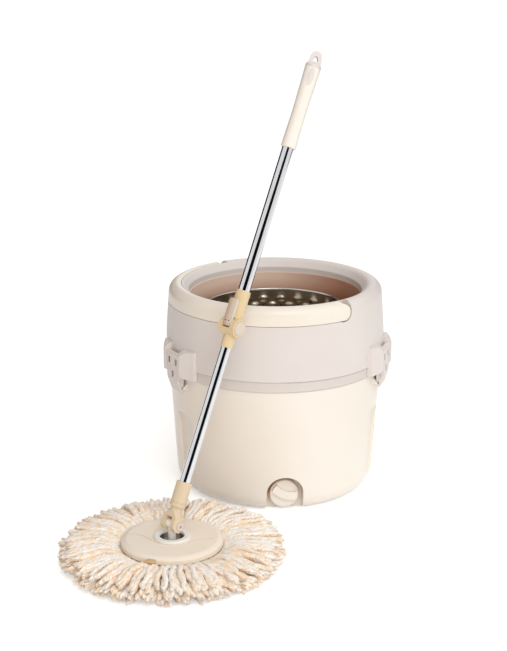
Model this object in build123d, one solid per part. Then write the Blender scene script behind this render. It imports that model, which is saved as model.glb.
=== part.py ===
from build123d import *
from math import atan2, cos, degrees, pi, sin, tan
import os

# Spin mop set: a tub with a latched collar, a bail and a spinning basket, and the mop beside it.
# Millimetres. The origin is the middle of the tub's underside on the floor, +Z is up and the drain
# faces -Y. An azimuth is counted from -Y towards +X. Pole stations are distances from the hinge pin.

# Clearances
overcut = 1.0                  # how far a cutter runs past the face that it opens
running_gap = 0.05             # radial gap of a pin or shaft that turns in its hole
slide_gap = 0.3                # gap between faces that move past each other
edge_round = 1.0

# Tub
tub_foot_radius = 151.0        # where the line of the wall meets the floor
tub_heel_round = 28.0
tub_shoulder_radius = 163.5
tub_shoulder_height = 193.0
tub_wall = 2.6
tub_floor = 3.0
spigot_radius = 157.0          # upstand that the seal ring fits over
spigot_height = 11.0
flute_width = 44.0             # grip flutes below the latches
flute_top = 132.0
flute_round = 10.0
flute_depth = 6.0
niche_width = 55.0             # arched niche of the drain knob
niche_top = 57.0
niche_back = 127.0
catch_width = 36.0             # lugs that the latches hook under
catch_reach = 168.5
catch_height = 175.0
catch_lip = 3.0
catch_slope = 8.0

# Seal ring and collar
seal_height = 17.2
seal_radius = 165.5
seal_round = 2.0
collar_radius = 167.5
collar_wall = 3.0
collar_straight = 35.0         # height of the upright part of the collar
collar_bend_round = 60.0
flange_radius = 156.0          # inner edge of the foot flange that sits on the seal ring
rim_height = 317.0
rim_radius = 147.0
rim_round = 14.0
lip_radius = 132.4             # inner edge of the rim
lip_drop = 15.0                # from the crest of the rim to its inner edge
lip_round = 3.0
lip_depth = 3.0
guard_wall = 2.0
guard_inset = 1.5
guard_taper = 7.9
guard_drop = 77.0

# Bail
bail_pivot_azimuth = 32.0
bail_inner_radius = 144.0
bail_height = 24.0
bail_gap = 0.8
bail_notch_room = 1.5          # extra half width at the pivots, for the crest of the raised bail
bail_skin = 3.5
bail_end_angle = 9.0           # solid part of each end, counted round the ring
bail_pin_radius = 3.0
bail_pin_bite = 6.0            # length of pin held in the collar
bail_pin_reach = 11.0          # length of pin in the bail

# Latches
latch_azimuths = {"latch_left": -66.0, "latch_right": 66.0, "latch_rear": 180.0}
clip_width = 42.0
clip_taper = 7.0               # how much narrower each side is at the hook
clip_thickness = 4.0
clip_outer_radius = 177.5
clip_knuckle_radius = 4.5
clip_hinge_height = 227.0
clip_pin_radius = 2.0
clip_pin_bite = 7.0            # length of pin held in each cheek
clip_chin_height = 190.0       # where the plate starts to bend in under the catch
clip_hook_radius = 165.0
clip_hook_thickness = 4.0
window_width = 7.0
window_height = 10.0
window_spread = 10.7
window_upper_drop = 5.0
window_lower_drop = 25.0
housing_top = 240.0
housing_bottom = 196.0
housing_reach = 179.0
housing_slope = 3.0            # fall of the cheeks' top and rise of their foot, from the collar outwards
housing_round = 10.0
housing_width = 52.0           # across the cheeks at their outer face
housing_foot_width = 92.0      # across the flared cheeks at the collar

# Drain
drain_height = 25.4
drain_seat_radius = 8.0
drain_seat_flange = 15.0
drain_seat_flange_thickness = 2.5
drain_seat_tail = 7.0          # length of the seat behind the inner face of the wall
drain_gasket_radius = 14.0
drain_gasket_thickness = 2.0
drain_nut_radius = 13.0
drain_nut_thickness = 4.0
knob_radius = 22.0
knob_thickness = 9.0
knob_round = 2.5
knob_stem_radius = 5.0
knob_bar_height = 5.0
knob_bar_radius = 34.0
knob_bar_width = 12.0
knob_bar_tilt = -20.0
clip_ring_radius = 7.6
clip_ring_thickness = 1.4

# Basket and its bearing
post_flange_radius = 42.0
post_flange_thickness = 4.0
post_foot_radius = 30.0
post_top_radius = 19.0
post_top = 150.0
post_bore_depth = 52.0
post_screw_circle = 36.0
post_screw_radius = 2.0
post_screw_head = 3.8
post_screw_head_height = 2.4
post_screw_count = 4
spindle_radius = 5.0
spindle_tail = 48.0            # length of the spindle below the top of the post
bush_radius = 9.0
bush_length = 34.0
bush_flange_radius = 14.0
bush_flange = 2.0
washer_thickness = 1.5
washer_radius = 13.0
hub_radius = 20.0
hub_disc_radius = 52.0
hub_disc_thickness = 5.0
basket_floor_height = 178.0
basket_floor_radius = 104.0
basket_floor_round = 10.0
basket_rim_height = 277.0
basket_rim_radius = 109.5
basket_bead_radius = 1.9
sheet = 1.0
basket_hole_radius = 2.6
basket_hole_rows = (206.0, 229.0, 252.0)
basket_hole_count = 24
floor_hole_circle = 78.0
floor_hole_radius = 5.0
floor_hole_count = 8
hub_nut_radius = 11.0
hub_nut_height = 9.0

# Mop head
mop_stand_off = 341.0          # from the tub's axis to the mop's axis
mop_azimuth = -30.7
lean_azimuth = 131.7           # heading of the leaning pole
lean_angle = 25.6
plate_radius = 71.0
plate_top = 32.0
plate_wall = 3.0
plate_skirt = 10.0
plate_edge_round = 2.5
plate_bevel = 7.0
plate_hub_wall = 6.0
cup_radius = 18.0
cup_wall = 1.0
cup_floor_height = 21.0
ring_radius = 25.5
ring_height = 3.5
ring_round = 1.6
hinge_height = 52.0
post_radius = 5.5
post_flange = 9.0
post_flange_height = 3.2
post_lug_radius = 6.5
post_lug_width = 10.6
hinge_pin_radius = 2.5
yarn_ring_inner = 44.0
yarn_backing_radius = 69.0
yarn_backing_depth = 14.0
yarn_radius = 160.0
strand_layers = 3
strands_per_layer = 104
strand_bite = 4.0              # length of a strand inside the backing
strand_bulge_radius = 98.0     # where a strand is thickest
strand_skew = 1.1              # degrees that a strand swings to either side
strand_scatter = 8.0           # how much the tips vary in reach
strand_lows = ((9.6, 7.4), (5.2, 13.6), (0.3, 12.2))   # underside of root, bulge, tip; rise to the top layer
strand_thicknesses = (2.0, 5.2, 2.6)
strand_fills = (0.74, 0.8, 0.52)                       # share of the pitch that a strand fills

# Pole
fork_gap = 11.6
fork_width = 31.0
fork_arm_radius = 9.5
fork_bridge_start = 10.0
fork_bridge_end = 20.0
neck_radius = 8.8
ferrule_start = 25.0
ferrule_end = 60.0
ferrule_radius = 11.0
ferrule_lip = 0.6
ferrule_slot_count = 10
ferrule_slot_width = 3.4
ferrule_slot_height = 1.3
ferrule_slot_depth = 1.0
ferrule_slot_station = 30.5
pin_cap_radius = 5.2
pin_cap_thickness = 1.8
lower_tube_radius = 7.5
upper_tube_radius = 8.5
tube_wall = 0.8
lower_tube_start = 31.0
lower_tube_end = 606.0
upper_tube_start = 297.0
upper_tube_end = 661.0
bush_head = 4.0
bush_spigot = 8.0
nut_length = 15.0
nut_gap = 0.3
nut_seat_length = 5.0
rod_passage_radius = 4.5
rod_width = 7.0
rod_thickness = 2.0
rod_lead = 90.0                # length of rod for one full twist
rod_start = 302.0
rod_stop_radius = 6.0
rod_stop_length = 6.0
rod_slot_gap = 0.35
anchor_start = 630.0
anchor_length = 20.0
lock_start = 255.0
lock_neck_end = 272.0
lock_lip_radius = 9.2
lock_neck_radius = 8.6
lock_bore_gap = 0.3
barrel_station = 285.0
barrel_radius = 13.0
barrel_length = 29.0
barrel_offset = 2.0            # barrel centre towards the lever side
sleeve_end = 338.0
sleeve_radius = 10.4
lever_offset = 11.2
lever_station = 287.0
lever_width = 14.0
lever_length = 37.0
lever_thickness = 4.0
lever_knuckle_radius = 3.1
cam_pin_radius = 1.4
cam_pin_length = 24.0
lever_slot_drop = 5.0
lever_dimple_radius = 1.0
lever_dimple_depth = 1.2
lever_dimple_spread = 2.7      # from the middle of the lever to each dimple
lever_dimple_rise = 4.5
cap_disc_radius = 9.5
cap_disc_thickness = 1.5
grip_start = 548.0
grip_end = 667.0
grip_foot_radius = 11.0
grip_waist_station = 604.0
grip_waist_radius = 9.9
grip_waist_round = 700.0
grip_head_radius = 11.4
inset_station = 652.0
inset_length = 26.0
inset_width = 9.0
inset_depth = 0.8
inset_proud = 0.3
inset_turn = 45.0
end_cap_length = 23.0
end_cap_collar = 4.0
end_cap_thickness = 9.0
end_cap_tip_width = 13.0
end_cap_round = 6.0
hang_hole_width = 10.0
hang_hole_height = 9.0
hang_hole_round = 2.0


# Shared helpers
def outline(*corners):
    """Face in the XZ plane through (x, z) corners, with a fillet radius as an optional third value."""
    points = [(corner[0], 0, corner[1]) for corner in corners]
    rounds = [corner[2] if len(corner) > 2 else 0 for corner in corners]
    return make_face(FilletPolyline(*points, radius=rounds, close=True))


def turned(*corners, arc=360):
    return revolve(outline(*corners), Axis.Z, arc)


def ring(inner, outer, low, high):
    return turned((inner, low), (outer, low), (outer, high), (inner, high))


def disc(radius, low, high):
    return Pos(0, 0, (low + high) / 2) * Cylinder(radius, high - low)


def radial_prism(width, *corners):
    """Prism of a (radius, height) outline, facing -Y and as wide as given along X."""
    return Rot(0, 0, -90) * extrude(outline(*corners), amount=width / 2, both=True)


def front_prism(near, far, *corners):
    """Prism of an (x, z) outline from -Y distance near out to far."""
    return Pos(0, -near, 0) * extrude(outline(*corners), amount=far - near, dir=(0, -1, 0))


def cross_bar(radius, length, y=0.0, z=0.0):
    """Cylinder along X."""
    return Pos(0, y, z) * Rot(0, 90, 0) * Cylinder(radius, length)


def front_bar(radius, near, far, z):
    """Cylinder along Y from -Y distance near out to far."""
    return Pos(0, -(near + far) / 2, z) * Rot(90, 0, 0) * Cylinder(radius, far - near)


def at_azimuth(angle):
    return Rot(0, 0, angle)


# Tub
spigot_top = tub_shoulder_height + spigot_height
wall_lean = degrees(atan2(tub_shoulder_radius - tub_foot_radius, tub_shoulder_height))


def flute(grow=0.0):
    half = flute_width / 2 + grow
    top = flute_top + grow
    corners = ((-half, -top), (-half, top, flute_round), (half, top, flute_round), (half, -top))
    cutter = front_prism(0, tub_foot_radius / 2, *corners)
    return Pos(0, flute_depth + grow - tub_foot_radius, 0) * Rot(wall_lean, 0, 0) * cutter


def niche(grow=0.0):
    half = niche_width / 2 + grow
    top = niche_top + grow
    arch = half - edge_round
    corners = ((-half, -overcut), (-half, top, arch), (half, top, arch), (half, -overcut))
    return front_prism(niche_back - grow, tub_shoulder_radius + overcut, *corners)


def make_tub():
    shell = turned(
        (0, 0),
        (tub_foot_radius, 0, tub_heel_round),
        (tub_shoulder_radius, tub_shoulder_height, edge_round),
        (spigot_radius, tub_shoulder_height),
        (spigot_radius, spigot_top),
        (0, spigot_top),
    )
    inner_spigot = spigot_radius - tub_wall
    ledge = tub_shoulder_height - tub_floor - (tub_shoulder_radius - spigot_radius)
    cavity = turned(
        (0, tub_floor),
        (tub_foot_radius - tub_wall, tub_floor, tub_heel_round - tub_wall),
        (tub_shoulder_radius - tub_wall, ledge),
        (inner_spigot, ledge + tub_shoulder_radius - spigot_radius),
        (inner_spigot, spigot_top + overcut),
        (0, spigot_top + overcut),
    )
    lug_root = tub_shoulder_radius - tub_wall - edge_round / 2
    for azimuth in latch_azimuths.values():
        shell -= at_azimuth(azimuth) * flute()
        cavity -= at_azimuth(azimuth) * flute(tub_wall)
    body = shell - niche() - (cavity - niche(tub_wall))
    for azimuth in latch_azimuths.values():
        body += at_azimuth(azimuth) * radial_prism(
            catch_width,
            (lug_root, catch_height),
            (catch_reach, catch_height),
            (catch_reach, catch_height + catch_lip),
            (lug_root, catch_height + catch_lip + catch_slope),
        )
    return body - front_bar(drain_seat_radius, niche_back / 2, niche_back + overcut, drain_height)


# Seal ring, collar and splash guard
collar_bottom = tub_shoulder_height + seal_height
lean_start = collar_bottom + collar_straight
rim_slope = atan2(lip_drop, rim_radius - lip_radius)
lip_bottom = rim_height - lip_drop - lip_depth


def make_seal_ring():
    return turned(
        (spigot_radius, tub_shoulder_height),
        (seal_radius, tub_shoulder_height, seal_round),
        (seal_radius, collar_bottom, seal_round),
        (spigot_radius, collar_bottom),
    )


def rim_corners(inset=0.0):
    """Corners of the collar's skin from the lip over the rim to the upright, moved in by inset."""
    crest = rim_height + rim_round * (1 / cos(rim_slope) - 1) - inset / cos(rim_slope)
    inner = lip_radius + inset
    outer = rim_radius + rim_round - inset
    return (
        (inner, crest - (rim_radius - inner) * tan(rim_slope), lip_round - inset),
        (outer, crest + (outer - rim_radius) * tan(rim_slope), rim_round - inset),
        (collar_radius - inset, lean_start, collar_bend_round),
    )


def rim_solid():
    return turned(
        (lip_radius, lip_bottom),
        *rim_corners(),
        (collar_radius, collar_bottom),
        (lip_radius, collar_bottom),
    )


bail_hinge_height = rim_height - bail_height / 2
bail_pin_inner = bail_inner_radius - bail_pin_bite
bail_pin_outer = bail_inner_radius + bail_pin_reach


def bail_space(end, grow=0.0):
    """The half ring that the bail fills, grown on all its faces, and a given shape round each pivot."""
    inner = bail_inner_radius - grow
    bottom = rim_height - bail_height - grow
    reach = collar_radius + overcut
    corners = ((inner, bottom), (reach, bottom), (reach, rim_height + reach), (inner, rim_height + reach))
    half_ring = at_azimuth(bail_pivot_azimuth - 270) * turned(*corners, arc=180)
    end -= disc(inner, 0, rim_height + reach)
    return [half_ring] + [at_azimuth(bail_pivot_azimuth + turn) * end for turn in (0, 180)]


def bail_room(grow):
    """Seat of the bail in the collar. Its ends are open at the top, where the bail turns as it lifts."""
    half = bail_height / 2 + bail_notch_room + grow
    notch = front_prism(
        bail_inner_radius / 2,
        collar_radius + overcut,
        (-half, bail_hinge_height - half, half - edge_round),
        (half, bail_hinge_height - half, half - edge_round),
        (half, rim_height + half),
        (-half, rim_height + half),
    )
    return bail_space(notch, grow)


clip_hinge_radius = clip_outer_radius - clip_knuckle_radius
clip_hook_top = catch_height - slide_gap
clip_hook_bottom = clip_hook_top - clip_hook_thickness


def clip_outline(grow=0.0):
    """Prism of a latch plate's front: straight at the hinge and narrower towards the hook."""
    half = clip_width / 2 + grow
    shoulder = clip_hinge_height - 2 * clip_knuckle_radius
    return front_prism(
        clip_hook_radius / 2,
        clip_outer_radius + housing_reach,
        (clip_taper - half, clip_hook_bottom),
        (half - clip_taper, clip_hook_bottom),
        (half, shoulder),
        (half, rim_height),
        (-half, rim_height),
        (-half, shoulder),
    )


def latch_housing():
    """The two flared cheeks that flank a latch, on the -Y side."""
    root = collar_radius - collar_wall / 2
    block = radial_prism(
        housing_foot_width,
        (root - clip_width / 2, housing_top),
        (root, housing_top),
        (housing_reach, housing_top - housing_slope, housing_round),
        (housing_reach, housing_bottom + housing_slope, clip_thickness),
        (catch_reach, housing_bottom),
        (root - clip_width / 2, housing_bottom),
    )
    flare = Polygon(
        (-housing_foot_width / 2, -root),
        (-housing_width / 2, -housing_reach),
        (housing_width / 2, -housing_reach),
        (housing_foot_width / 2, -root),
        (housing_foot_width / 2, -root / 2),
        (-housing_foot_width / 2, -root / 2),
        align=None,
    )
    cheeks = block & extrude(flare, amount=rim_height)
    cheeks -= clip_outline(slide_gap)
    cheeks -= disc(root, 0, rim_height)
    pin = cross_bar(clip_pin_radius, clip_width + 2 * clip_pin_bite, -clip_hinge_radius, clip_hinge_height)
    return cheeks - pin


def make_collar():
    cavity = turned(
        (lip_radius - overcut, collar_bottom - overcut),
        (flange_radius, collar_bottom - overcut),
        (flange_radius, collar_bottom + collar_wall),
        (collar_radius - collar_wall, collar_bottom + collar_wall),
        *reversed(rim_corners(collar_wall)),
        (lip_radius + collar_wall, lip_bottom),
        (lip_radius - overcut, lip_bottom),
    )
    body = rim_solid() - bail_room(bail_gap) - (cavity - bail_room(bail_gap + collar_wall))
    housing = latch_housing()
    for azimuth in latch_azimuths.values():
        body += at_azimuth(azimuth) * housing
    pin = front_bar(bail_pin_radius, bail_pin_inner, bail_pin_outer, bail_hinge_height)
    for azimuth in (bail_pivot_azimuth, bail_pivot_azimuth + 180):
        body -= at_azimuth(azimuth) * pin
    return body


def make_splash_guard():
    outer = lip_radius + collar_wall
    inner = lip_radius - guard_inset
    return turned(
        (inner, lip_bottom),
        (outer, lip_bottom),
        (outer, lip_bottom - guard_wall),
        (inner + guard_wall, lip_bottom - guard_wall),
        (inner - guard_taper + guard_wall, lip_bottom - guard_drop),
        (inner - guard_taper, lip_bottom - guard_drop),
    )


# Bail
def make_bail_handle():
    end = front_bar(bail_height / 2, bail_inner_radius / 2, collar_radius + overcut, bail_hinge_height)
    half_ring, near_end, far_end = bail_space(end)
    body = rim_solid() & (half_ring + near_end + far_end)
    channel = turned(
        (bail_inner_radius + bail_skin, 0),
        (rim_radius + rim_round - bail_skin, 0),
        (rim_radius + rim_round - bail_skin, bail_hinge_height, bail_skin),
        (bail_inner_radius + bail_skin, bail_hinge_height, bail_skin),
        arc=180 - 2 * bail_end_angle,
    )
    body -= at_azimuth(bail_pivot_azimuth - 270 + bail_end_angle) * channel
    hole_end = bail_pin_outer + slide_gap
    hole = front_bar(bail_pin_radius + running_gap, bail_pin_inner, hole_end, bail_hinge_height)
    for azimuth in (bail_pivot_azimuth, bail_pivot_azimuth + 180):
        body -= at_azimuth(azimuth) * hole
    return body


def make_bail_pins():
    pin = front_bar(bail_pin_radius, bail_pin_inner, bail_pin_outer, bail_hinge_height)
    return [at_azimuth(bail_pivot_azimuth + turn) * pin for turn in (0, 180)]


# Latches
def make_latch():
    inner = clip_outer_radius - clip_thickness
    plate = radial_prism(
        clip_width,
        (clip_outer_radius, clip_hinge_height),
        (clip_outer_radius, clip_chin_height, clip_hook_thickness),
        (clip_hinge_radius - edge_round, clip_hook_bottom, clip_hook_thickness / 2),
        (clip_hook_radius, clip_hook_bottom, edge_round),
        (clip_hook_radius, clip_hook_top),
        (catch_reach + edge_round, clip_hook_top),
        (inner, clip_chin_height, clip_hook_thickness),
        (inner, clip_hinge_height),
    )
    plate += cross_bar(clip_knuckle_radius, clip_width, -clip_hinge_radius, clip_hinge_height)
    plate &= clip_outline()
    plate -= cross_bar(clip_pin_radius + running_gap, 2 * clip_width, -clip_hinge_radius, clip_hinge_height)
    window = Box(window_width, 4 * clip_thickness, window_height)
    upper = [(side * window_spread, window_upper_drop) for side in (-1, 1)]
    for x, drop in upper + [(0, window_lower_drop)]:
        plate -= Pos(x, -clip_outer_radius, clip_hinge_height - drop - clip_thickness) * window
    return plate


def make_latch_pins():
    pin = cross_bar(clip_pin_radius, clip_width + 2 * clip_pin_bite, -clip_hinge_radius, clip_hinge_height)
    return [at_azimuth(azimuth) * pin for azimuth in latch_azimuths.values()]


# Drain
niche_inner = niche_back - tub_wall
drain_seat_end = niche_inner - drain_seat_tail
knob_back = niche_back + drain_seat_flange_thickness + slide_gap


def make_drain_seat():
    seat = front_bar(drain_seat_radius, drain_seat_end, niche_back, drain_height)
    seat += front_bar(drain_seat_flange, niche_back, niche_back + drain_seat_flange_thickness, drain_height)
    return seat - front_bar(knob_stem_radius + running_gap, 0, tub_shoulder_radius, drain_height)


def make_drain_gasket():
    gasket = front_bar(drain_gasket_radius, niche_inner - drain_gasket_thickness, niche_inner, drain_height)
    return gasket - front_bar(drain_seat_radius, 0, tub_shoulder_radius, drain_height)


def make_drain_nut():
    start = niche_inner - drain_gasket_thickness
    hexagon = extrude(RegularPolygon(drain_nut_radius, 6), amount=drain_nut_thickness)
    nut = Pos(0, drain_nut_thickness - start, drain_height) * Rot(90, 0, 0) * hexagon
    return nut - front_bar(drain_seat_radius, 0, tub_shoulder_radius, drain_height)


def make_drain_knob():
    knob = turned(
        (0, 0),
        (knob_radius, 0, edge_round),
        (knob_radius, knob_thickness, knob_round),
        (0, knob_thickness),
    )
    band = ring(knob_bar_radius - knob_bar_width / 2, knob_bar_radius + knob_bar_width / 2,
                knob_thickness - overcut, knob_thickness + knob_bar_height)
    bar = (Pos(0, knob_bar_radius, 0) * band) & disc(knob_radius - knob_round, 0, 2 * knob_thickness)
    knob += Rot(0, 0, knob_bar_tilt) * bar
    knob += disc(knob_stem_radius, -(knob_back - drain_seat_end) - 2 * clip_ring_thickness, overcut)
    return Pos(0, -knob_back, drain_height) * Rot(90, 0, 0) * knob


def make_drain_clip():
    far = drain_seat_end - slide_gap
    clip = front_bar(clip_ring_radius, far - clip_ring_thickness, far, drain_height)
    return clip - front_bar(knob_stem_radius, 0, tub_shoulder_radius, drain_height)


# Basket and its bearing
bush_top = post_top + bush_flange
washer_top = bush_top + washer_thickness
hub_bottom = washer_top + slide_gap
basket_floor_top = basket_floor_height + sheet
spindle_top = basket_floor_top + hub_nut_height / 2


def post_screw_places():
    return PolarLocations(post_screw_circle, post_screw_count, start_angle=45)


def make_centre_post():
    post = turned(
        (0, tub_floor),
        (post_flange_radius, tub_floor),
        (post_flange_radius, tub_floor + post_flange_thickness, edge_round),
        (post_foot_radius, tub_floor + post_flange_thickness, edge_round),
        (post_top_radius, post_top, edge_round),
        (bush_radius, post_top),
        (bush_radius, post_top - bush_length),
        (spindle_radius + slide_gap, post_top - bush_length),
        (spindle_radius + slide_gap, post_top - post_bore_depth),
        (0, post_top - post_bore_depth),
    )
    hole = disc(post_screw_radius, tub_floor - overcut, tub_floor + post_flange_thickness + overcut)
    return post - [place * hole for place in post_screw_places()]


def make_post_screws():
    top = tub_floor + post_flange_thickness
    screw = disc(post_screw_radius, tub_floor, top)
    screw += disc(post_screw_head, top, top + post_screw_head_height)
    return [place * screw for place in post_screw_places()]


def make_spindle_bush():
    return turned(
        (spindle_radius + running_gap, post_top - bush_length),
        (bush_radius, post_top - bush_length),
        (bush_radius, post_top),
        (bush_flange_radius, post_top),
        (bush_flange_radius, bush_top),
        (spindle_radius + running_gap, bush_top),
    )


def make_thrust_washer():
    return ring(spindle_radius + running_gap, washer_radius, bush_top, washer_top)


def make_spindle():
    return disc(spindle_radius, post_top - spindle_tail, spindle_top)


def make_basket_hub():
    return turned(
        (spindle_radius, hub_bottom),
        (hub_radius, hub_bottom, edge_round),
        (hub_radius, basket_floor_height - 2 * hub_disc_thickness, hub_disc_thickness),
        (hub_disc_radius, basket_floor_height - hub_disc_thickness / 2),
        (hub_disc_radius, basket_floor_height),
        (spindle_radius, basket_floor_height),
    )


def make_hub_nut():
    return turned(
        (spindle_radius, basket_floor_top),
        (hub_nut_radius, basket_floor_top),
        (hub_nut_radius, basket_floor_top + hub_nut_height, hub_nut_height / 2),
        (0, basket_floor_top + hub_nut_height),
        (0, spindle_top),
        (spindle_radius, spindle_top),
    )


def make_basket_drum():
    """Pressed steel drum with a rolled rim and rows of holes, each row half a pitch from the last."""
    drum = turned(
        (spindle_radius, basket_floor_height),
        (basket_floor_radius, basket_floor_height, basket_floor_round),
        (basket_rim_radius, basket_rim_height),
        (basket_rim_radius - sheet, basket_rim_height),
        (basket_floor_radius - sheet, basket_floor_top, basket_floor_round - sheet),
        (spindle_radius, basket_floor_top),
    )
    bead = Pos(basket_rim_radius, 0, basket_rim_height) * (Plane.XZ * Circle(basket_bead_radius))
    drum += revolve(bead, Axis.Z)
    holes = []
    pitch = 360 / basket_hole_count
    for row, height in enumerate(basket_hole_rows):
        hole = front_bar(basket_hole_radius, basket_floor_radius / 2, basket_rim_radius + overcut, height)
        holes += [at_azimuth((step + row / 2) * pitch) * hole for step in range(basket_hole_count)]
    drain = disc(floor_hole_radius, basket_floor_height - overcut, basket_floor_top + overcut)
    holes += [place * drain for place in PolarLocations(floor_hole_circle, floor_hole_count)]
    return drum - holes


# Places of the mop
mop_spot = at_azimuth(mop_azimuth) * Pos(0, -mop_stand_off, 0) * at_azimuth(-mop_azimuth)
mop_place = mop_spot * at_azimuth(lean_azimuth - 180)
pole_place = mop_place * Pos(0, 0, hinge_height) * Rot(-lean_angle, 0, 0)


# Mop head, in the mop's own frame: Z up through the plate, X along the hinge pin
plate_bottom = plate_top - plate_skirt
plate_under = plate_top - plate_wall
cup_hole = post_radius + running_gap


def make_mop_plate():
    skirt_inner = plate_radius - plate_wall
    hub_outer = cup_radius + plate_hub_wall
    return turned(
        (cup_radius, cup_floor_height),
        (cup_radius, plate_top),
        (plate_radius - plate_bevel, plate_top, plate_bevel),
        (plate_radius, plate_top - plate_edge_round, plate_edge_round),
        (plate_radius, plate_bottom, edge_round),
        (skirt_inner, plate_bottom),
        (skirt_inner, plate_under),
        (hub_outer, plate_under),
        (hub_outer, cup_floor_height),
    )


def make_swivel_cup():
    return turned(
        (cup_hole, cup_floor_height),
        (cup_radius, cup_floor_height),
        (cup_radius, plate_top),
        (cup_radius - cup_wall, plate_top),
        (cup_radius - cup_wall, cup_floor_height + cup_wall),
        (cup_hole, cup_floor_height + cup_wall),
    )


def make_plate_ring():
    top = plate_top + ring_height
    inner = cup_radius - cup_wall
    return turned(
        (inner, plate_top),
        (ring_radius, plate_top),
        (ring_radius, top, ring_round),
        (inner, top, ring_round),
    )


def make_swivel_post():
    head = cup_floor_height - slide_gap
    post = disc(post_radius, head - post_flange_height, hinge_height)
    post += cross_bar(post_lug_radius, 2 * post_radius, 0, hinge_height)
    post &= Pos(0, 0, hinge_height / 2) * Box(post_lug_width, 4 * post_radius, 2 * hinge_height)
    post += disc(post_flange, head - post_flange_height, head)
    post += disc(post_radius, head, cup_floor_height + cup_wall)
    return post - cross_bar(hinge_pin_radius + running_gap, 2 * fork_width, 0, hinge_height)


def make_yarn_ring():
    return ring(yarn_ring_inner, plate_radius - plate_wall - running_gap, plate_bottom, plate_under)


def strand(layer, index):
    """One tapered strand in an upright plane: from the backing, over a knee, down to its tip."""
    swing = sin(2.4 * index + 1.7 * layer)
    share = layer / (strand_layers - 1)
    root = yarn_backing_radius - strand_bite
    bulge = strand_bulge_radius
    tip = yarn_radius - strand_scatter * (0.5 + 0.5 * sin(5.1 * index + 2.3 * layer))
    root_low, bulge_low, tip_low = (low + share * rise for low, rise in strand_lows)
    root_high, bulge_high, tip_high = (
        low + thickness for low, thickness in zip((root_low, bulge_low, tip_low), strand_thicknesses))
    pitch = 2 * pi / strands_per_layer
    root_half, bulge_half, tip_half = (
        radius * pitch * fill / 2 for radius, fill in zip((root, bulge, tip), strand_fills))
    side = radial_prism(
        4 * bulge_half,
        (root, root_low),
        (bulge, bulge_low),
        (tip, tip_low),
        (tip, tip_high),
        (bulge, bulge_high),
        (root, root_high),
    )
    plan = Polygon(
        (-root_half, -root),
        (-bulge_half, -bulge),
        (-tip_half, -tip),
        (tip_half, -tip),
        (bulge_half, -bulge),
        (root_half, -root),
        align=None,
    )
    body = side & extrude(plan, amount=plate_top)
    pivot = yarn_backing_radius
    body = Pos(0, -pivot, 0) * Rot(0, 0, strand_skew * swing) * Pos(0, pivot, 0) * body
    return at_azimuth(degrees(pitch) * (index + layer / 2)) * body


def make_yarn_head():
    backing = ring(yarn_ring_inner, yarn_backing_radius, plate_bottom - yarn_backing_depth, plate_bottom)
    strands = [strand(layer, index) for layer in range(strand_layers) for index in range(strands_per_layer)]
    return backing + strands


# Pole, in its own frame: Z up along the pole from the hinge pin, X along the pin, -Y the lever side
tube_bore = lower_tube_radius - tube_wall
upper_bore = upper_tube_radius - tube_wall
drive_nut_top = lower_tube_end - bush_spigot - nut_gap
drive_nut_bottom = drive_nut_top - nut_length
anchor_end = anchor_start + anchor_length
cap_end = grip_end + end_cap_length


def make_fork():
    body = cross_bar(fork_arm_radius, fork_width)
    body += Pos(0, 0, fork_bridge_end / 2) * Box(fork_width, 2 * fork_arm_radius, fork_bridge_end)
    shoulders = turned(
        (0, -fork_arm_radius),
        (fork_width / 2, -fork_arm_radius),
        (fork_width / 2, fork_bridge_start),
        (neck_radius, fork_bridge_end),
        (0, fork_bridge_end),
    )
    body &= shoulders
    body -= Pos(0, 0, fork_bridge_start / 2 - fork_arm_radius) * Box(
        fork_gap, 4 * fork_arm_radius, 2 * fork_arm_radius + fork_bridge_start)
    body += turned(
        (0, fork_bridge_end - edge_round),
        (neck_radius, fork_bridge_end - edge_round),
        (neck_radius, ferrule_start),
        (ferrule_radius + ferrule_lip, ferrule_start),
        (ferrule_radius + ferrule_lip, ferrule_start + 2 * edge_round),
        (ferrule_radius, ferrule_start + 3 * edge_round),
        (ferrule_radius, ferrule_end, edge_round),
        (lower_tube_radius, ferrule_end),
        (lower_tube_radius, lower_tube_start),
        (0, lower_tube_start),
    )
    slot = Pos(0, -ferrule_radius, ferrule_slot_station) * Box(
        ferrule_slot_width, 2 * ferrule_slot_depth, ferrule_slot_height)
    body -= [at_azimuth(step * 360 / ferrule_slot_count) * slot for step in range(ferrule_slot_count)]
    return body - cross_bar(hinge_pin_radius, 2 * fork_width)


def make_hinge_pin():
    return cross_bar(hinge_pin_radius, fork_width + 2 * pin_cap_thickness)


def make_pin_caps():
    middle = (fork_width + pin_cap_thickness) / 2
    cap = cross_bar(pin_cap_radius, pin_cap_thickness) - cross_bar(hinge_pin_radius, 2 * pin_cap_thickness)
    return [Pos(side * middle, 0, 0) * cap for side in (-1, 1)]


def make_lower_tube():
    return ring(tube_bore, lower_tube_radius, lower_tube_start, lower_tube_end)


def make_guide_bush():
    return turned(
        (rod_passage_radius, lower_tube_end - bush_spigot),
        (tube_bore, lower_tube_end - bush_spigot),
        (tube_bore, lower_tube_end),
        (upper_bore - running_gap, lower_tube_end),
        (upper_bore - running_gap, lower_tube_end + bush_head, edge_round / 2),
        (rod_passage_radius, lower_tube_end + bush_head),
    )


def make_nut_seat():
    top = drive_nut_bottom - nut_gap
    return ring(rod_passage_radius, tube_bore, top - nut_seat_length, top)


def twisted_bar(width, thickness, low, high):
    """Flat bar twisted about Z at the rod's lead, in step with the rod at every height."""
    length = high - low
    section = Rectangle(width, thickness).face()
    bar = Solid.extrude_linear_with_rotation(section, (0, 0, 0), (0, 0, length), 360 * length / rod_lead)
    return Pos(0, 0, low) * Rot(0, 0, 360 * (low - rod_start) / rod_lead) * bar


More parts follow.
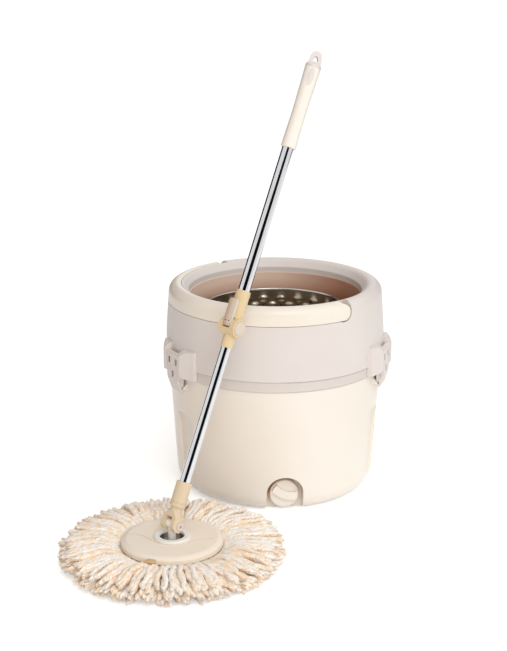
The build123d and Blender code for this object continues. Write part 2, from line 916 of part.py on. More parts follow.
def make_drive_nut():
    blank = disc(tube_bore - running_gap, drive_nut_bottom, drive_nut_top)
    slot = twisted_bar(rod_width + 2 * rod_slot_gap, rod_thickness + 2 * rod_slot_gap,
                       drive_nut_bottom - overcut, drive_nut_top + overcut)
    return blank - slot


def make_twist_rod():
    return twisted_bar(rod_width, rod_thickness, rod_start, anchor_start)


def make_rod_stop():
    return disc(rod_stop_radius, rod_start - rod_stop_length, rod_start)


def make_rod_anchor():
    return disc(upper_bore, anchor_start, anchor_end)


def make_upper_tube():
    return ring(upper_bore, upper_tube_radius, upper_tube_start, upper_tube_end)


def make_lock_body():
    bore = lower_tube_radius + lock_bore_gap
    body = turned(
        (bore, lock_start),
        (lock_lip_radius, lock_start, edge_round / 2),
        (lock_neck_radius + edge_round / 2, lock_start + lock_lip_radius / 2),
        (lock_neck_radius, lock_neck_end),
        (lock_neck_radius, barrel_station),
        (sleeve_radius, barrel_station + edge_round),
        (sleeve_radius, sleeve_end, edge_round),
        (bore, sleeve_end),
    )
    body += cross_bar(barrel_radius, barrel_length, -barrel_offset, barrel_station)
    body -= disc(bore, lock_start - overcut, upper_tube_start)
    body -= disc(upper_tube_radius, upper_tube_start, sleeve_end + overcut)
    slot_low = lever_station - lever_slot_drop
    slot_high = barrel_station + barrel_radius
    slot_depth = 2 * barrel_radius
    body -= Pos(0, -lower_tube_radius - slot_depth / 2, (slot_low + slot_high) / 2) * Box(
        lever_width + 2 * slide_gap, slot_depth, slot_high - slot_low)
    return body - cross_bar(cam_pin_radius, cam_pin_length, -lever_offset, lever_station)


def make_cam_pin():
    return cross_bar(cam_pin_radius, cam_pin_length, -lever_offset, lever_station)


def make_lock_caps():
    middle = (barrel_length + cap_disc_thickness) / 2
    cap = cross_bar(cap_disc_radius, cap_disc_thickness, -barrel_offset, barrel_station)
    return [Pos(side * middle, 0, 0) * cap for side in (-1, 1)]


def make_lock_lever():
    end = lever_station + lever_length
    face = lever_offset + lever_thickness
    arm = radial_prism(
        lever_width,
        (lever_offset, lever_station),
        (face, lever_station, edge_round),
        (face, end, lever_thickness / 2),
        (lever_offset, end, edge_round),
    )
    half = lever_width / 2
    arm &= front_prism(
        0, face, (-half, lever_station), (half, lever_station), (half, end, half / 2), (-half, end, half / 2))
    dimple = front_bar(
        lever_dimple_radius, face - lever_dimple_depth, face + overcut, lever_station + lever_dimple_rise)
    for side in (-1, 1):
        arm -= Pos(side * lever_dimple_spread, 0, 0) * dimple
    arm += cross_bar(lever_knuckle_radius, lever_width, -lever_offset, lever_station)
    return arm - cross_bar(cam_pin_radius + running_gap, 2 * lever_width, -lever_offset, lever_station)


def grip_corners(grow=0.0):
    return (
        (grip_foot_radius + grow, grip_start, edge_round),
        (grip_waist_radius + grow, grip_waist_station, grip_waist_round),
        (grip_head_radius + grow, grip_end, edge_round),
    )


def inset_oval():
    face = Plane((0, 0, inset_station), x_dir=(1, 0, 0), z_dir=(0, -1, 0))
    oval = face * Ellipse(inset_width / 2, inset_length / 2)
    return Rot(0, 0, inset_turn) * extrude(oval, amount=2 * grip_head_radius)


def make_grip():
    body = turned((upper_tube_radius, grip_start), *grip_corners(), (upper_tube_radius, grip_end))
    core = turned((0, grip_start), *grip_corners(-inset_depth), (0, grip_end))
    return body - (inset_oval() - core)


def make_grip_inset():
    core = turned((0, grip_start), *grip_corners(-inset_depth), (0, grip_end))
    skin = turned((0, grip_start), *grip_corners(inset_proud), (0, grip_end))
    return (inset_oval() & skin) - core


def make_end_cap():
    """Plug, collar and a flat tongue with a three-cornered hanging hole."""
    tongue_foot = grip_end + end_cap_collar
    half_foot = grip_head_radius - edge_round
    half_tip = end_cap_tip_width / 2
    tongue = outline(
        (-half_foot, tongue_foot - overcut),
        (-half_tip, cap_end, end_cap_round),
        (half_tip, cap_end, end_cap_round),
        (half_foot, tongue_foot - overcut),
    )
    hole_top = cap_end - end_cap_round
    hole = outline(
        (-hang_hole_width / 2, hole_top - hang_hole_height, hang_hole_round),
        (0, hole_top + hang_hole_round, hang_hole_round),
        (hang_hole_width / 2, hole_top - hang_hole_height, hang_hole_round),
    )
    body = extrude(tongue, amount=end_cap_thickness / 2, both=True)
    body -= extrude(hole, amount=end_cap_thickness, both=True)
    body = Rot(0, 0, inset_turn) * body
    body += turned(
        (0, upper_tube_end),
        (upper_tube_radius, upper_tube_end),
        (upper_tube_radius, grip_end),
        (grip_head_radius, grip_end),
        (grip_head_radius, tongue_foot, edge_round),
        (0, tongue_foot),
    )
    return body + disc(upper_bore, anchor_end, upper_tube_end)


# Every node, in the frame where it stands
bucket_parts = {
    "tub": make_tub(),
    "seal_ring": make_seal_ring(),
    "collar": make_collar(),
    "splash_guard": make_splash_guard(),
    "bail_handle": make_bail_handle(),
    "bail_pins": make_bail_pins(),
    "latch_pins": make_latch_pins(),
    "drain_seat": make_drain_seat(),
    "drain_gasket": make_drain_gasket(),
    "drain_nut": make_drain_nut(),
    "drain_knob": make_drain_knob(),
    "drain_clip": make_drain_clip(),
    "centre_post": make_centre_post(),
    "post_screws": make_post_screws(),
    "spindle_bush": make_spindle_bush(),
    "thrust_washer": make_thrust_washer(),
    "spindle": make_spindle(),
    "basket_hub": make_basket_hub(),
    "hub_nut": make_hub_nut(),
    "basket_drum": make_basket_drum(),
}
latch = make_latch()
for name, azimuth in latch_azimuths.items():
    bucket_parts[name] = at_azimuth(azimuth) * latch
head_parts = {
    "mop_plate": make_mop_plate(),
    "swivel_cup": make_swivel_cup(),
    "plate_ring": make_plate_ring(),
    "swivel_post": make_swivel_post(),
    "yarn_ring": make_yarn_ring(),
    "yarn_head": make_yarn_head(),
}
pole_parts = {
    "fork": make_fork(),
    "hinge_pin": make_hinge_pin(),
    "pin_caps": make_pin_caps(),
    "lower_tube": make_lower_tube(),
    "guide_bush": make_guide_bush(),
    "nut_seat": make_nut_seat(),
    "drive_nut": make_drive_nut(),
    "twist_rod": make_twist_rod(),
    "rod_stop": make_rod_stop(),
    "rod_anchor": make_rod_anchor(),
    "upper_tube": make_upper_tube(),
    "lock_body": make_lock_body(),
    "cam_pin": make_cam_pin(),
    "lock_caps": make_lock_caps(),
    "lock_lever": make_lock_lever(),
    "grip": make_grip(),
    "grip_inset": make_grip_inset(),
    "end_cap": make_end_cap(),
}


def write(parts, place):
    for name, shape in parts.items():
        solids = shape if isinstance(shape, list) else [shape]
        placed = Compound(children=[place * solid for piece in solids for solid in piece.solids()])
        export_step(placed, f"parts/{name}.step")


os.makedirs("parts", exist_ok=True)
write(bucket_parts, Pos(0, 0, 0))
write(head_parts, mop_place)
write(pole_parts, pole_place)
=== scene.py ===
# %% [markdown]
# Spin mop set: a cream tub with a warm grey collar, a bail and a spinning steel basket, and a strand
# mop on a chrome pole beside it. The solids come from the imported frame. This lesson gives them their
# finishes, adds small trim, lays the yarn of the mop head cord by cord, rolls up the sheet of the basket,
# and lights a small studio for them.

# %% Load the frame
import math
import random

import bpy
import numpy as np
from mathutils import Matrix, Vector


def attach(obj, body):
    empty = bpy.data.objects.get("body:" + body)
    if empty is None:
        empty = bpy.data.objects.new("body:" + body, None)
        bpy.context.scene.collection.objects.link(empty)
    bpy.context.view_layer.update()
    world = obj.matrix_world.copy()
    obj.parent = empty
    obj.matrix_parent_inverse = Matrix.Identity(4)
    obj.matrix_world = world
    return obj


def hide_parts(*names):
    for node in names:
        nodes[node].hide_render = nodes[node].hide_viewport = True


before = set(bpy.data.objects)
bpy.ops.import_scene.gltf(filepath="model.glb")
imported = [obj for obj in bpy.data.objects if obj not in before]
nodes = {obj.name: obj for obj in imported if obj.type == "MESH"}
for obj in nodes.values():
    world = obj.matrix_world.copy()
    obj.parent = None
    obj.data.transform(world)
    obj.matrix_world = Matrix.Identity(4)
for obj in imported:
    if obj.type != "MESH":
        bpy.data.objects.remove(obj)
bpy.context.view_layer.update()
scene = bpy.context.scene
scene.view_settings.view_transform = "Standard"
print("nodes:", len(nodes))

# %% [markdown]
# The camera stands where the photographer stood: about two metres in front of the drain, a little to
# its left, looking down by sixteen degrees through a long lens. Its place was worked out from the
# ellipses of the rim, the tub and the mop plate, so each piece falls close to its place in the photograph.

# %% Camera
camera_place = (-0.2370, -2.1955, 0.894)
camera_pitch = 16.32
camera_heading = 5.3
camera_lens = 82.34
camera_data = bpy.data.cameras.new("photo_camera")
camera_data.sensor_width = 36.0
camera_data.lens = camera_lens
camera = bpy.data.objects.new("photo_camera", camera_data)
scene.collection.objects.link(camera)
camera.location = camera_place
camera.rotation_euler = (math.radians(90 - camera_pitch), 0, math.radians(-camera_heading))
scene.camera = camera
print("camera:", camera_place)

# %% [markdown]
# Shader maths reads best as plain sums. A small class wraps one output socket, and its operators add
# Math nodes, so a mask can be written as 1 - noise * 0.5. A second class makes any other node from its
# type, its settings and the values of its sockets.


# %% Helpers for nodes
class Wire:
    """One output socket. Arithmetic and comparison on wires add Math nodes."""

    def __init__(self, owner, socket):
        self.owner = owner
        self.socket = socket

    def maths(self, operation, first, second=0.0):
        return self.owner.node("ShaderNodeMath", {"operation": operation}, {0: first, 1: second})

    def __add__(self, other):
        return self.maths("ADD", self, other)

    def __mul__(self, other):
        return self.maths("MULTIPLY", self, other)

    def __sub__(self, other):
        return self.maths("SUBTRACT", self, other)

    def __rsub__(self, other):
        return self.maths("SUBTRACT", other, self)

    def __lt__(self, other):
        return self.maths("LESS_THAN", self, other)

    def __gt__(self, other):
        return self.maths("GREATER_THAN", self, other)

    def __abs__(self):
        return self.maths("ABSOLUTE", self)

    __radd__ = __add__
    __rmul__ = __mul__


class NodeTree:
    """The nodes of one finish, or of the sky."""

    def __init__(self, tree):
        self.tree = tree

    def join(self, socket, value):
        if isinstance(value, Wire):
            self.tree.links.new(value.socket, socket)
        else:
            socket.default_value = value

    def node(self, kind, settings=None, sockets=None, output=0):
        made = self.tree.nodes.new(kind)
        for name, value in (settings or {}).items():
            setattr(made, name, value)
        for key, value in (sockets or {}).items():
            self.join(made.inputs[key], value)
        return Wire(self, made.outputs[output])

    def blend(self, share, first, second):
        """Colour that goes from first to second as share goes from 0 to 1."""
        return self.node("ShaderNodeMix", {"data_type": "RGBA"}, {0: share, 6: first, 7: second}, 2)

    def window(self, value, low, high):
        """0 below low, 1 above high and even in between."""
        sockets = {"Value": value, "From Min": low, "From Max": high}
        return self.node("ShaderNodeMapRange", None, sockets)


print("classes:", Wire.__name__, NodeTree.__name__)

# %% [markdown]
# A finish is a material with one Principled skin. What is the same all over is set on the skin itself, and
# what varies comes from noises on the piece's Object coordinates, which stay put when the piece moves.


# %% Helpers for finishes
class Finish(NodeTree):
    """A material with one Principled skin, and the nodes that feed it."""

    def __init__(self, name, **fixed):
        self.material = bpy.data.materials.new(name)
        self.material.use_nodes = True
        super().__init__(self.material.node_tree)
        self.skin = self.tree.nodes["Principled BSDF"]
        for socket, value in fixed.items():
            self.skin.inputs[socket.replace("_", " ")].default_value = value
        self.place = self.node("ShaderNodeTexCoord", output="Object")

    def feed(self, socket, value):
        self.join(self.skin.inputs[socket], value)

    def fed(self, socket):
        """The wire that feeds a socket of the skin."""
        return Wire(self, self.skin.inputs[socket].links[0].from_socket)

    def noise(self, scale, detail=2.0, place=None):
        sockets = {"Vector": place or self.place, "Scale": scale, "Detail": detail}
        return self.node("ShaderNodeTexNoise", None, sockets)

    def stretched(self, x, y, z):
        return self.node("ShaderNodeMapping", None, {"Vector": self.place, "Scale": (x, y, z)})

    def axes(self):
        """The three coordinates of a point on the piece."""
        split = self.node("ShaderNodeSeparateXYZ", None, {0: self.place})
        return [Wire(self, socket) for socket in split.socket.node.outputs]

    def bump(self, height, distance):
        sockets = {"Height": height, "Distance": distance, "Strength": 1.0}
        self.feed("Normal", self.node("ShaderNodeBump", None, sockets))


def linear(red, green, blue):
    """A colour as it looks on screen, 0 to 255, as the linear colour that a shader takes."""
    def straight(share):
        return share / 12.92 if share <= 0.04045 else ((share + 0.055) / 1.055) ** 2.4

    return [straight(channel / 255) for channel in (red, green, blue)] + [1.0]


def dress(finish, *names):
    for name in names:
        nodes[name].data.materials.clear()
        nodes[name].data.materials.append(finish.material)


print("mid grey as a shader takes it:", round(linear(128, 128, 128)[0], 3))

# %% [markdown]
# Moulded plastic is one material in several tints. Its skin has a fine spark grain from the mould,
# its tint drifts a little where the melt flowed, and its gloss is uneven for the same reason. One
# function makes all the tints, so that they look as if they came from one factory.

# %% Moulded plastics
flow_scale = 9.0
cloud_scale = 55.0
gloss_spread = 0.12
cream_look = ((245, 237, 226), (242, 233, 221), 0.34, 0.0011, 0.00004)
beige_look = ((222, 209, 193), (216, 202, 185), 0.36, 0.0010, 0.00005)


def moulded(name, tint, shade, roughness, grain_size, grain_depth):
    finish = Finish(name, IOR=1.46)
    flow = finish.noise(flow_scale, 3.0)
    finish.feed("Base Color", finish.blend(finish.window(flow, 0.3, 0.7), linear(*shade), linear(*tint)))
    cloud = finish.noise(cloud_scale)
    finish.feed("Roughness", cloud * gloss_spread + (roughness - gloss_spread / 2))
    finish.bump(finish.noise(1 / grain_size, 1.0), grain_depth)
    return finish


cream = moulded("cream_plastic", *cream_look)
bail_cream = moulded("bail_plastic", (241, 232, 219), (238, 228, 214), 0.32, 0.0012, 0.00004)
warm_grey = moulded("warm_grey_plastic", (227, 219, 214), (224, 215, 209), 0.42, 0.0010, 0.00007)
seal_grey = moulded("seal_grey_plastic", (222, 213, 206), (217, 207, 200), 0.45, 0.0010, 0.00006)
lever_beige = moulded("lever_beige_plastic", *beige_look)
ferrule_tan = moulded("ferrule_tan_plastic", (227, 208, 178), (220, 199, 168), 0.34, 0.0010, 0.00005)
lock_cream = moulded("lock_cream_plastic", (229, 206, 165), (222, 196, 154), 0.34, 0.0010, 0.00005)
plate_cream = moulded("plate_cream_plastic", (245, 233, 217), (242, 229, 212), 0.36, 0.0012, 0.00005)
white = moulded("white_plastic", (244, 242, 236), (236, 233, 226), 0.34, 0.0010, 0.00004)
wearers = {
    cream: ("drain_knob", "grip"),
    bail_cream: ("bail_handle",),
    warm_grey: ("collar", "latch_left", "latch_right", "latch_rear", "grip_inset", "end_cap", "pin_caps"),
    seal_grey: ("seal_ring",),
    lever_beige: ("lock_caps",),
    ferrule_tan: ("fork",),
    lock_cream: ("lock_body",),
    plate_cream: ("mop_plate",),
    white: (
        "plate_ring", "swivel_post", "centre_post", "basket_hub", "yarn_ring", "drain_seat", "drain_nut",
        "guide_bush", "nut_seat", "drive_nut", "rod_anchor", "rod_stop", "spindle_bush"),
}
for finish, names in wearers.items():
    dress(finish, *names)
print("moulded finishes:", len(wearers))

# %% [markdown]
# Three pieces get painted shade on top of their tint. The first is the tub. It is cream, and in the deep
# arched niche of the drain the light comes only off its own walls, so it is painted a shaded brown, least on
# the right, where more light gets in. The niche is a mask on Object coordinates: within its width, below its
# crown, and a distance into the wall. Painting vertices would do as well, but the solids' meshes stay as
# they are.

# %% Niche of the tub
tub_foot_radius = 0.151
tub_flare = 0.0648
niche_half = 0.0277
niche_crown = 0.0575
niche_face = -0.1255
niche_painted_shade = linear(190, 148, 104)
tub_cream = moulded("tub_cream_plastic", *cream_look)
tub_x, tub_y, tub_z = tub_cream.axes()
from_axis = tub_cream.node(
    "ShaderNodeVectorMath", {"operation": "LENGTH"}, {0: tub_cream.stretched(1, 1, 0)}, "Value")
into_wall = tub_z * tub_flare + tub_foot_radius - from_axis
in_niche = (abs(tub_x) < niche_half) * (tub_z < niche_crown) * (tub_y < niche_face)
niche_depth = tub_cream.window(into_wall, 0.001, 0.012)
niche_rise = tub_cream.window(tub_z, 0.004, 0.030)
niche_lit = tub_cream.window(tub_x, 0.006, 0.018) * 0.8
niche_shade_share = in_niche * niche_depth * niche_rise * (1 - niche_lit)
# Painted shade: brown deep in the niche, lighter on its right.
tub_cream.feed("Base Color", tub_cream.blend(niche_shade_share, tub_cream.fed("Base Color"), niche_painted_shade))
dress(tub_cream, "tub")
print("niche width in mm:", round(2000 * niche_half, 1))

# %% [markdown]
# The second is the guard inside the collar. It is a tan with painted shade that deepens it towards its foot,
# beside the basket, and towards the right, where its wall faces away from the light. The masks are its
# height and its place from left to right.

# %% Guard
guard_painted_shade = linear(166, 98, 62)
guard_tan = moulded("guard_tan_plastic", (233, 206, 186), (230, 201, 180), 0.3, 0.0014, 0.00003)
guard_x, _, guard_z = guard_tan.axes()
guard_lit = 1 - guard_tan.window(guard_x, 0.02, 0.115) * 0.75
guard_unshaded_share = guard_tan.window(guard_z, 0.250, 0.290) * guard_lit
# Painted shade: the tan turns brown towards the foot and towards the right.
guard_tan.feed("Base Color", guard_tan.blend(guard_unshaded_share, guard_painted_shade, guard_tan.fed("Base Color")))
dress(guard_tan, "splash_guard")
print("nodes in the guard's finish:", len(guard_tan.tree.nodes))

# %% [markdown]
# The third is the lever of the lock. One edge of it lies in the shade of the barrel, painted into its
# colour, and two small dimples in its face get painted shade. Both masks are distances along the leaning
# pole and along the pin of the mop's hinge, and a dot product measures them, so the pattern needs no turned
# coordinates.

# %% Lock lever
mop_centre = Vector((-0.174095, -0.293210, 0.0))
hinge_height = 0.052
pole_foot = mop_centre + Vector((0, 0, hinge_height))
pole_line = Vector((0.322612, 0.287437, 0.901833))
pin_line = Vector((0.665230, -0.746638, 0.0))
lever_dimple_station = 0.2915
lever_dimple_spread = 0.0027
lever_dimple_square = 1.1e-6
lever_shade = linear(190, 158, 128)
lever_dimple_shade = linear(112, 86, 66)


def distance_along(finish, line):
    """How far a point lies from the foot of the pole, measured along that line."""
    product = finish.node(
        "ShaderNodeVectorMath", {"operation": "DOT_PRODUCT"}, {0: finish.place, 1: line}, "Value")
    return product - pole_foot.dot(line)


lever_shaded = moulded("lever_shaded_plastic", *beige_look)
lever_across = distance_along(lever_shaded, pin_line)
lever_along = distance_along(lever_shaded, pole_line) - lever_dimple_station
lever_side = abs(lever_across) - lever_dimple_spread
in_lever_dimple = lever_side * lever_side + lever_along * lever_along < lever_dimple_square
# Painted shade: one edge of the lever and the hollows of its two dimples are darkened.
lever_lit = lever_shaded.window(lever_across, -0.006, 0.002)
lever_colour = lever_shaded.blend(lever_lit, lever_shade, lever_shaded.fed("Base Color"))
lever_shaded.feed("Base Color", lever_shaded.blend(in_lever_dimple, lever_colour, lever_dimple_shade))
dress(lever_shaded, "lock_lever")
print("nodes in the lever's finish:", len(lever_shaded.tree.nodes))

# %% [markdown]
# There are three metal finishes and a rubber. The tubes of the pole are polished chrome, almost a mirror,
# with slightly uneven gloss. The pins, the screws, the twisted rod and the bead of the basket are bright
# steel, and the pressed sheet of the basket is a duller one, with a darker, warmer tint that is a painted
# reflection of the tan guard and dark surroundings. Both steels are brushed round the axis, so their noise
# is stretched into thin rings. The rubber serves for the gasket of the drain, and also as painted shade in
# the latch windows.

# %% Metals and rubber
chrome = Finish("chrome", Metallic=1.0)
chrome_drift = chrome.noise(40.0)
chrome.feed("Base Color", chrome.blend(chrome_drift, linear(206, 207, 210), linear(224, 225, 226)))
chrome.feed("Roughness", chrome.noise(320.0) * 0.06 + 0.03)
dress(chrome, "lower_tube", "upper_tube")

steel = Finish("pressed_steel", Metallic=1.0)
rings = steel.noise(1.0, 3.0, steel.stretched(30.0, 30.0, 1400.0))
steel.feed("Base Color", steel.blend(rings, linear(176, 172, 166), linear(214, 211, 206)))
steel.feed("Roughness", rings * 0.16 + 0.14)
steel.bump(rings, 0.00003)
dress(steel, "basket_drum", "hub_nut", "spindle", "bail_pins", "latch_pins", "post_screws")
dress(steel, "thrust_washer", "drain_clip", "hinge_pin", "cam_pin", "twist_rod", "swivel_cup")

basket_steel_painted_reflection = Finish("basket_steel_painted_reflection", Metallic=1.0)
brushing = basket_steel_painted_reflection.noise(1.0, place=basket_steel_painted_reflection.stretched(18.0, 18.0, 420.0))
# Painted reflection: the dark, warm tint stands in for the tan guard and dark surroundings that the sheet
# mirrors.
basket_steel_painted_reflection.feed("Base Color", basket_steel_painted_reflection.blend(brushing, linear(150, 138, 120), linear(186, 174, 156)))
basket_steel_painted_reflection.feed("Roughness", brushing * 0.08 + 0.27)

rubber_and_shade = Finish("rubber_and_shade")
rubber_and_shade.feed("Base Color", rubber_and_shade.blend(rubber_and_shade.noise(60.0), linear(34, 34, 34), linear(48, 47, 46)))
rubber_and_shade.feed("Roughness", rubber_and_shade.noise(200.0) * 0.2 + 0.6)
dress(rubber_and_shade, "drain_gasket")
print("metals and rubber:", len((chrome, steel, basket_steel_painted_reflection, rubber_and_shade)))

# %% [markdown]
# What repeats is modelled once and copied, each copy with a mesh of its own. Small pieces are joined into
# one, which then gets its finish and the body that it moves with. An operator acts on all that is selected,
# and the solids are selected after loading, so everything is deselected first.


# %% Helpers for new pieces
def deselect():
    bpy.ops.object.select_all(action="DESELECT")


def copied(model, name):
    """A copy of a modelled piece, with a mesh of its own."""
    copy = bpy.data.objects.new(name, model.data.copy())
    scene.collection.objects.link(copy)
    return copy


def settle(*pieces):
    """Selects these pieces alone and moves their places into their meshes."""
    deselect()
    for piece in pieces:
        piece.select_set(True)
    bpy.context.view_layer.objects.active = pieces[0]
    bpy.ops.object.transform_apply()


def joined(pieces):
    """The pieces, settled and joined into the first of them."""
    settle(*pieces)
    bpy.ops.object.join()
    return pieces[0]


def enter(piece, finish, body):
    """Gives a piece its finish and the body that it moves with."""
    piece.data.materials.clear()
    piece.data.materials.append(finish.material)
    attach(piece, body)


print("selected after loading:", len(bpy.context.selected_objects))

# %% [markdown]
# Each latch plate has three small windows, and behind each lies a dark block, painted shade for the deep
# hollow seen through the window. A block is a cube brought to size with its edges bevelled, modelled once
# and copied to each window. The blocks of one latch become one piece, which swings with it.

# %% Painted shade in the latch windows
shade_block_size = Vector((0.0068, 0.0010, 0.0098))
shade_block_bevel = 0.0003
shade_block_radius = 0.1748
shade_block_places = ((-0.0107, 0.218), (0.0107, 0.218), (0.0, 0.198))
latch_azimuths = {"latch_left": -66.0, "latch_right": 66.0, "latch_rear": 180.0}


def model_shade_block():
    deselect()
    bpy.ops.mesh.primitive_cube_add(size=1.0)
    bpy.ops.object.mode_set(mode="EDIT")
    bpy.ops.transform.resize(value=shade_block_size)
    bpy.ops.mesh.bevel(offset=shade_block_bevel, segments=2)
    bpy.ops.object.mode_set(mode="OBJECT")
    return bpy.context.object


def place_shade_block(model, name, turn, across, height):
    """A copy of the shade block, put that far across a latch and at that height."""
    shade_block = copied(model, name)
    shade_block.rotation_euler = (0, 0, turn)
    shade_block.location = (
        math.cos(turn) * across + math.sin(turn) * shade_block_radius,
        math.sin(turn) * across - math.cos(turn) * shade_block_radius, height)
    return shade_block


shade_block_model = model_shade_block()
for latch, azimuth in latch_azimuths.items():
    name = "pads_" + latch.split("_")[1]
    turn = math.radians(azimuth)
    shade_blocks = joined([place_shade_block(shade_block_model, name, turn, across, height) for across, height in shade_block_places])
    # The dark rubber here is painted shade, deep in the latch windows.
    enter(shade_blocks, rubber_and_shade, latch)
bpy.data.objects.remove(shade_block_model)
print("latches with pads:", len(latch_azimuths))

# %% [markdown]
# A latch plate is stiffened by a web along each side of its hooked foot, which closes the view past the
# plate to the catch. A web is a flat five-cornered face, pushed sideways into a thin wall and leaning with
# the taper of the plate. Its inner edge stays clear of the catch, so it swings out with the latch. The two
# webs of a latch are modelled once, as for a latch at the front, and turned copies serve the three latches.

# %% Webs of the latches
web_corners = ((0.1740, 0.1980), (0.1709, 0.1786), (0.1690, 0.1786), (0.1663, 0.1810), (0.1663, 0.1980))
web_foot_half = 0.0148
web_taper = 0.148
web_thickness = 0.0016


def model_web(side):
    """The web on that side, 1 or -1, of a latch at the front."""
    deselect()
    bpy.ops.mesh.primitive_circle_add(vertices=len(web_corners), fill_type="NGON")
    web = bpy.context.object
    foot = min(height for _, height in web_corners)
    for vertex, (radius, height) in zip(web.data.vertices, web_corners):
        vertex.co = (side * (web_foot_half + web_taper * (height - foot)), -radius, height)
    bpy.ops.object.mode_set(mode="EDIT")
    bpy.ops.mesh.select_all(action="SELECT")
    bpy.ops.mesh.extrude_region_move(TRANSFORM_OT_translate={"value": (-side * web_thickness, 0, 0)})
    bpy.ops.mesh.select_all(action="SELECT")
    bpy.ops.mesh.normals_make_consistent(inside=False)
    bpy.ops.object.mode_set(mode="OBJECT")
    return web


web_model = joined([model_web(side) for side in (1, -1)])
for latch, azimuth in latch_azimuths.items():
    webs = copied(web_model, "webs_" + latch.split("_")[1])
    webs.rotation_euler = (0, 0, math.radians(azimuth))
    settle(webs)
    enter(webs, warm_grey, latch)
bpy.data.objects.remove(web_model)
print("latches with webs:", len(latch_azimuths))

# %% [markdown]
# The plate of the mop head has two small features on its smooth top: a fine raised line that swings round
# the front of the ring, and a tab at the rim that lets go of the yarn. The line is a curve with a thin
# round section, sunk a little more than half into the plate and then made a mesh.

# %% Line of the plate
plate_top = 0.032
line_radius = 0.0008
line_sink = 0.6
line_points = (
    (-0.0606, 0.0156), (-0.0430, 0.0150), (-0.0240, -0.0170),
    (0.0040, -0.0300), (0.0370, -0.0090), (0.0580, -0.0110))


def model_line():
    curve = bpy.data.curves.new("plate_line", "CURVE")
    curve.dimensions = "3D"
    curve.bevel_depth = line_radius
    curve.bevel_resolution = 2
    curve.use_fill_caps = True
    spline = curve.splines.new("NURBS")
    spline.points.add(len(line_points) - 1)
    for point, (x, y) in zip(spline.points, line_points):
        point.co = (mop_centre.x + x, mop_centre.y + y, plate_top - line_sink * line_radius, 1)
    spline.order_u = 3
    spline.use_endpoint_u = True
    line = bpy.data.objects.new("plate_line", curve)
    scene.collection.objects.link(line)
    deselect()
    line.select_set(True)
    bpy.context.view_layer.objects.active = line
    bpy.ops.object.convert(target="MESH")
    bpy.ops.object.shade_smooth()
    return line


# The raised line is real, and its deeper tan than the plate is painted shade for the shadow along it.
line_shaded_tan = moulded("plate_line_plastic", (222, 200, 170), (216, 193, 162), 0.4, 0.0012, 0.00005)
plate_line = model_line()
enter(plate_line, line_shaded_tan, "head")
print("faces of the line:", len(plate_line.data.polygons))

# %% [markdown]
# The tab is a cube with bevelled edges. Its lower half is drawn in and set back, so that it looks pressed
# into the rim. Cutting it out of the plate itself would mean a change to the solid, for a few millimetres.

# %% Tab of the plate
tab_azimuth = math.radians(-25.0)
tab_size = Vector((0.0125, 0.0110, 0.0060))
tab_bevel = 0.0015
tab_radius = 0.0745
tab_height = 0.0268
tab_foot_share = 0.8
tab_foot_setback = 0.002


def model_tab():
    deselect()
    bpy.ops.mesh.primitive_cube_add(size=1.0)
    tab = bpy.context.object
    tab.name = "plate_tab"
    bpy.ops.object.mode_set(mode="EDIT")
    bpy.ops.transform.resize(value=tab_size)
    bpy.ops.mesh.bevel(offset=tab_bevel, segments=3)
    bpy.ops.object.mode_set(mode="OBJECT")
    for vertex in tab.data.vertices:
        if vertex.co.z < 0:
            vertex.co.x *= tab_foot_share
            vertex.co.y += tab_foot_setback
    tab.rotation_euler = (0, 0, tab_azimuth)
    tab.location = mop_centre + Vector(
        (math.sin(tab_azimuth) * tab_radius, -math.cos(tab_azimuth) * tab_radius, tab_height))
    bpy.ops.object.transform_apply()
    bpy.ops.object.shade_smooth_by_angle(angle=math.radians(40))
    return tab


# The tab's deeper tan is painted shade, for the shaded gap under the rim of the plate.
tab_shaded_tan = moulded("plate_tab_plastic", (218, 184, 134), (210, 174, 124), 0.36, 0.0010, 0.00005)
plate_tab = model_tab()
enter(plate_tab, tab_shaded_tan, "head")
print("faces of the tab:", len(plate_tab.data.polygons))

# %% [markdown]
# The mop head is a thick ring of soft cords, each spun from cream and white chenille. One cord is modelled
# from a six-sided cylinder cut into rings, and every copy is laid along a path of its own: out from under
# the plate, up to its edge, over the cords below and out to the rim. A particle system would be quicker to
# set up, but cords laid in code keep clear of the plate and give the same head at every run. The rings crowd
# towards the tip, where the cord is rounded off.

# %% Model one cord
cord_cuts = 15
tip_crowding = 1.6


def model_cord():
    deselect()
    bpy.ops.mesh.primitive_cylinder_add(vertices=6, radius=1.0, depth=1.0, end_fill_type="TRIFAN")
    cord = bpy.context.object
    bpy.ops.object.mode_set(mode="EDIT")
    bpy.ops.mesh.select_mode(type="EDGE")
    bpy.ops.mesh.select_all(action="DESELECT")
    bpy.ops.object.mode_set(mode="OBJECT")
    for edge in cord.data.edges:
        low, high = (cord.data.vertices[index].co.z for index in edge.vertices)
        edge.select = abs(high - low) > 0.5
    bpy.ops.object.mode_set(mode="EDIT")
    bpy.ops.mesh.subdivide(number_cuts=cord_cuts)
    bpy.ops.object.mode_set(mode="OBJECT")
    return cord


cord_model = model_cord()
cord_points = np.array([vertex.co for vertex in cord_model.data.vertices])
cord_share = 1 - (0.5 - cord_points[:, 2]) ** tip_crowding
cord_turn = np.arctan2(cord_points[:, 1], cord_points[:, 0])
print("faces of one cord:", len(cord_model.data.polygons))

# %% [markdown]
# The cords stand in rows from the lowest, which lies on the floor, to the highest, which rises level with
# the plate. Their lengths, swings and heights differ by a seeded draw, so the head looks tousled but is the
# same at each run. A path is five stations, from the root under the plate to the tip at the rim.

# %% Paths of the cords
cord_rows = 7
cords_per_row = 84
root_radius = 0.062
tip_radius = 0.1610
row_shift = 0.37
turn_jitter = 0.3
swing_limit = 0.06
tip_spread = 0.011
draw = random.Random(11)


